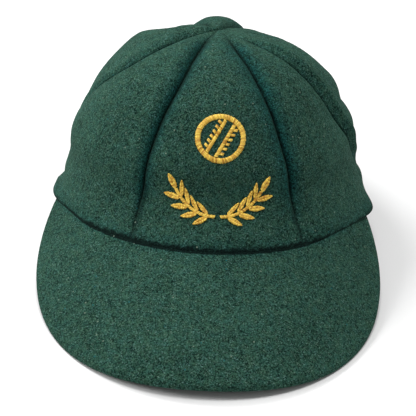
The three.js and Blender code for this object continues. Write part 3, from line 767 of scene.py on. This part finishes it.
def stitched(name, stitches, place, seed):
    """One embroidered piece, made of all its stitches. place turns and moves them on the badge."""
    dice = random.Random(seed)
    rings, shades = [], []
    for start, end, low, high in stitches:
        wander = [dice.uniform(-THREAD_WANDER, THREAD_WANDER) for _ in range(4)]
        lift = dice.uniform(-THREAD_LIFT_WANDER, THREAD_LIFT_WANDER)
        start = np.array(start) + wander[:2]
        end = np.array(end) + wander[2:]
        rings.append(strand_points(start, end, low + lift, high + lift))
        shades.append(min(max(dice.gauss(THREAD_SHADE, THREAD_SHADE_SPREAD), 0), 1))
    rings = np.array(rings)
    flat = place(rings[..., 0], rings[..., 1])
    points = to_row(badge_point(flat[0], flat[1], rings[..., 2]))
    count, ring_count, sides = points.shape[:3]
    one = np.arange(ring_count * sides).reshape(ring_count, sides)
    turned = np.roll(one, -1, axis=1)
    tube = quads(one[:-1], turned[:-1], turned[1:], one[1:])
    faces = []
    for at in range(count):
        base = at * ring_count * sides
        faces += (tube + base).tolist()
        faces.append((one[0][::-1] + base).tolist())
        faces.append((one[-1] + base).tolist())
    piece = new_piece(name, points, faces, {"strand_shade": np.repeat(np.array(shades), ring_count * sides)})
    bpy.ops.object.select_all(action="DESELECT")
    piece.select_set(True)
    bpy.context.view_layer.objects.active = piece
    bpy.ops.object.mode_set(mode="EDIT")
    bpy.ops.mesh.select_all(action="SELECT")
    bpy.ops.mesh.normals_make_consistent(inside=False)
    bpy.ops.object.mode_set(mode="OBJECT")
    return piece


def ball_stitches():
    """A ring of radial stitches, and two seam lines of slanted ones across it."""
    stitches = []
    count = round(2 * math.pi * (BALL_RADIUS - BALL_RING / 2) / THREAD_PITCH)
    for at in range(count):
        turn = 2 * math.pi * at / count
        inner = BALL_RADIUS - BALL_RING
        start = (inner * math.cos(turn), inner * math.sin(turn))
        slanted = turn + RING_SLANT
        end = (BALL_RADIUS * math.cos(slanted), BALL_RADIUS * math.sin(slanted))
        stitches.append((start, end, *RING_LIFT))
    for side in (-1, 1):
        inner = side * BALL_SEAM_GAP / 2
        outer = side * (BALL_SEAM_GAP / 2 + BALL_SEAM)
        reach = math.sqrt((BALL_RADIUS - BALL_RING) ** 2 - outer**2) - BALL_SEAM_SHORT
        count = round(2 * reach / THREAD_PITCH)
        for at in range(count + 1):
            y = -reach + 2 * reach * at / count
            stitches.append(((inner, y - BALL_SEAM_SLANT), (outer, y + BALL_SEAM_SLANT), *BALL_SEAM_LIFT))
        beside = outer + side * TICK_LENGTH
        reach = math.sqrt((BALL_RADIUS - BALL_RING) ** 2 - beside**2) - TICK_STEP / 2
        count = round(2 * reach / TICK_STEP)
        for at in range(count + 1):
            y = -reach + 2 * reach * at / count
            for strand in (-1, 0, 1):
                spread = strand * TICK_WIDTH / 3
                stitches.append(((outer, y + spread), (beside, y + spread + TICK_SLANT), *TICK_LIFT))
    return stitches


def stem_point(turn, out=0.0):
    middle = np.array([math.sin(turn), 1 - math.cos(turn)]) * SPRIG_RADIUS
    return middle + np.array([math.sin(turn), -math.cos(turn)]) * out


def leaf_stitches(root, axis, back, length, width):
    """A pointed leaf: slanted stitches from its midrib to both edges, meeting at the tip."""
    stitches = []
    count = round(length / THREAD_PITCH)
    for at in range(count + 1):
        share = LEAF_START + (1 - 2 * LEAF_START) * at / count
        for side in (-1, 1):
            tip_share = share + LEAF_SLANT * (1 - share)
            half = float(np.interp(tip_share, LEAF_WAY, LEAF_HALVES)) * width / 2
            start = root + axis * share * length * LEAF_MIDRIB_LENGTH - back * side * LEAF_MIDRIB_OVERLAP
            end = root + axis * tip_share * length + back * side * half
            stitches.append((tuple(start), tuple(end), *LEAF_LIFT))
    return stitches


def sprig_stitches():
    """An arched stem of short slanted stitches, with its leaves along it and one at its end."""
    stitches = []
    step_turn = SPRIG_SWEEP / (LEAF_PAIRS + LEAF_STEPS_MORE)
    for pair in range(LEAF_PAIRS):
        turn = (pair + LEAF_FIRST) * step_turn
        for side in (-1, 1):
            way = np.array([math.cos(turn), math.sin(turn)])
            out = np.array([math.sin(turn), -math.cos(turn)]) * side
            root = stem_point(turn) + out * STEM_WIDTH * LEAF_ROOT
            axis = way * math.cos(LEAF_LEAN) + out * math.sin(LEAF_LEAN)
            back = out * math.cos(LEAF_LEAN) - way * math.sin(LEAF_LEAN)
            spread = SPRIG_RADIUS + side * LEAF_LENGTH * math.sin(LEAF_LEAN) / 2
            width = step_turn * spread * math.sin(LEAF_LEAN) - LEAF_GAP
            stitches += leaf_stitches(root, axis, back, LEAF_LENGTH + LEAF_LONGER, width)
    way = np.array([math.cos(SPRIG_SWEEP), math.sin(SPRIG_SWEEP)])
    out = np.array([math.sin(SPRIG_SWEEP), -math.cos(SPRIG_SWEEP)])
    stitches += leaf_stitches(stem_point(SPRIG_SWEEP), way, out, LEAF_LENGTH, 2 * STEM_WIDTH)
    count = round(SPRIG_SWEEP * SPRIG_RADIUS / THREAD_PITCH)
    for at in range(count + 1):
        turn = SPRIG_SWEEP * at / count
        slant = STEM_SLANT / SPRIG_RADIUS
        half = STEM_WIDTH / 2
        start = stem_point(turn - slant, -half)
        end = stem_point(turn + slant, half)
        stitches.append((tuple(start), tuple(end), *STEM_LIFT))
    return stitches


def look_at(place, target, roll=0.0):
    """The matrix of something at a place that looks at a target, rolled about its line of sight."""
    turned = (target - place).to_track_quat("-Z", "Y").to_matrix().to_4x4()
    return Matrix.Translation(place) @ turned @ Matrix.Rotation(roll, 4, "Z")


def soft_light(name, place, power):
    light = bpy.data.lights.new(name, "AREA")
    light.shape = "DISK"
    light.size = LIGHT_SIZE
    light.energy = power
    lamp = bpy.data.objects.new(name, light)
    bpy.context.scene.collection.objects.link(lamp)
    lamp.matrix_world = look_at(Vector(place), LIGHTS_LOOK_AT)


camera_data = bpy.data.cameras.new("camera")
camera_data.lens = CAMERA_LENS
camera_data.sensor_width = 36
camera_data.clip_start = 0.01
camera = bpy.data.objects.new("camera", camera_data)
bpy.context.scene.collection.objects.link(camera)
camera.matrix_world = look_at(CAMERA_PLACE, CAMERA_LOOKS_AT, CAMERA_ROLL)
bpy.context.scene.camera = camera

for light in LIGHTS:
    soft_light(light["name"], light["place"], light["power"])

world = bpy.data.worlds.new("studio")
world.use_nodes = True
world.node_tree.nodes["Background"].inputs["Color"].default_value = (1, 1, 1, 1)
world.node_tree.nodes["Background"].inputs["Strength"].default_value = WORLD_LIGHT
bpy.context.scene.world = world
bpy.context.scene.view_settings.view_transform = "Standard"

wool = melton_wool()
thread = gold_thread()

SEAMS.append({**SEAMS[0], "turns": [turn + 360 for turn in SEAMS[0]["turns"]]})
for at, panel in enumerate(PANELS):
    panel["start_seam"], panel["end_seam"] = SEAMS[at : at + 2]

for panel in PANELS:
    outer, teal_and_shade, painted_shade = panel_grid(panel, 0)
    inner, _, _ = panel_grid(panel, 1)
    piece = sewn_wall(panel["node"] + "_cloth", outer, inner, teal_and_shade, painted_shade)
    dress(piece, wool, "wool_cloth", panel["node"])

under_top = PEAK_TOP_CLOTH + LAYER_GAP
for node, inset, top, cloth, edge_round, columns, rows in (
    ("peak_top", 0, 0, PEAK_TOP_CLOTH, PEAK_EDGE_ROUND, PEAK_COLUMNS, PEAK_ROWS),
    ("peak_underside", PEAK_UNDER_INSET, under_top, PEAK_UNDER_CLOTH, 0, PEAK_UNDER_COLUMNS, PEAK_UNDER_ROWS),
):
    outer, teal_and_shade, painted_shade = peak_grid(columns, rows, inset, top, cloth, edge_round, 0)
    inner, _, _ = peak_grid(columns, rows, inset, top, cloth, 0, 1)
    piece = sewn_wall(node + "_cloth", outer, inner, teal_and_shade, painted_shade)
    dress(piece, wool, "wool_cloth", node)

badge_shares = np.linspace(0, 1, BADGE_STEPS + 1)
badge_line = shell(np.full_like(badge_shares, BADGE_TURN), badge_shares)
badge_lengths = np.concatenate([[0], np.cumsum(np.linalg.norm(np.diff(badge_line, axis=0), axis=-1))])


def on_ball(x, y):
    turn, lean = math.cos(BALL_SEAM_TURN), math.sin(BALL_SEAM_TURN)
    return x * turn + y * lean, -x * lean + y * turn + BALL_RISE


def on_left_sprig(x, y):
    return -(x + SPRIG_GAP), y - SPRIG_FOOT


def on_right_sprig(x, y):
    return x + SPRIG_GAP, y - SPRIG_FOOT


for node, stitches, place in (
    ("emblem_ball", ball_stitches(), on_ball),
    ("emblem_sprig_left", sprig_stitches(), on_left_sprig),
    ("emblem_sprig_right", sprig_stitches(), on_right_sprig),
):
    piece = stitched(node + "_stitches", stitches, place, node)
    dress(piece, thread, "gold_thread", node)

bpy.ops.mesh.primitive_plane_add(size=TABLE_SIZE, location=(0, 0, 0))
table = bpy.context.active_object
table.name = "table"
table.data.materials.append(pale_table())
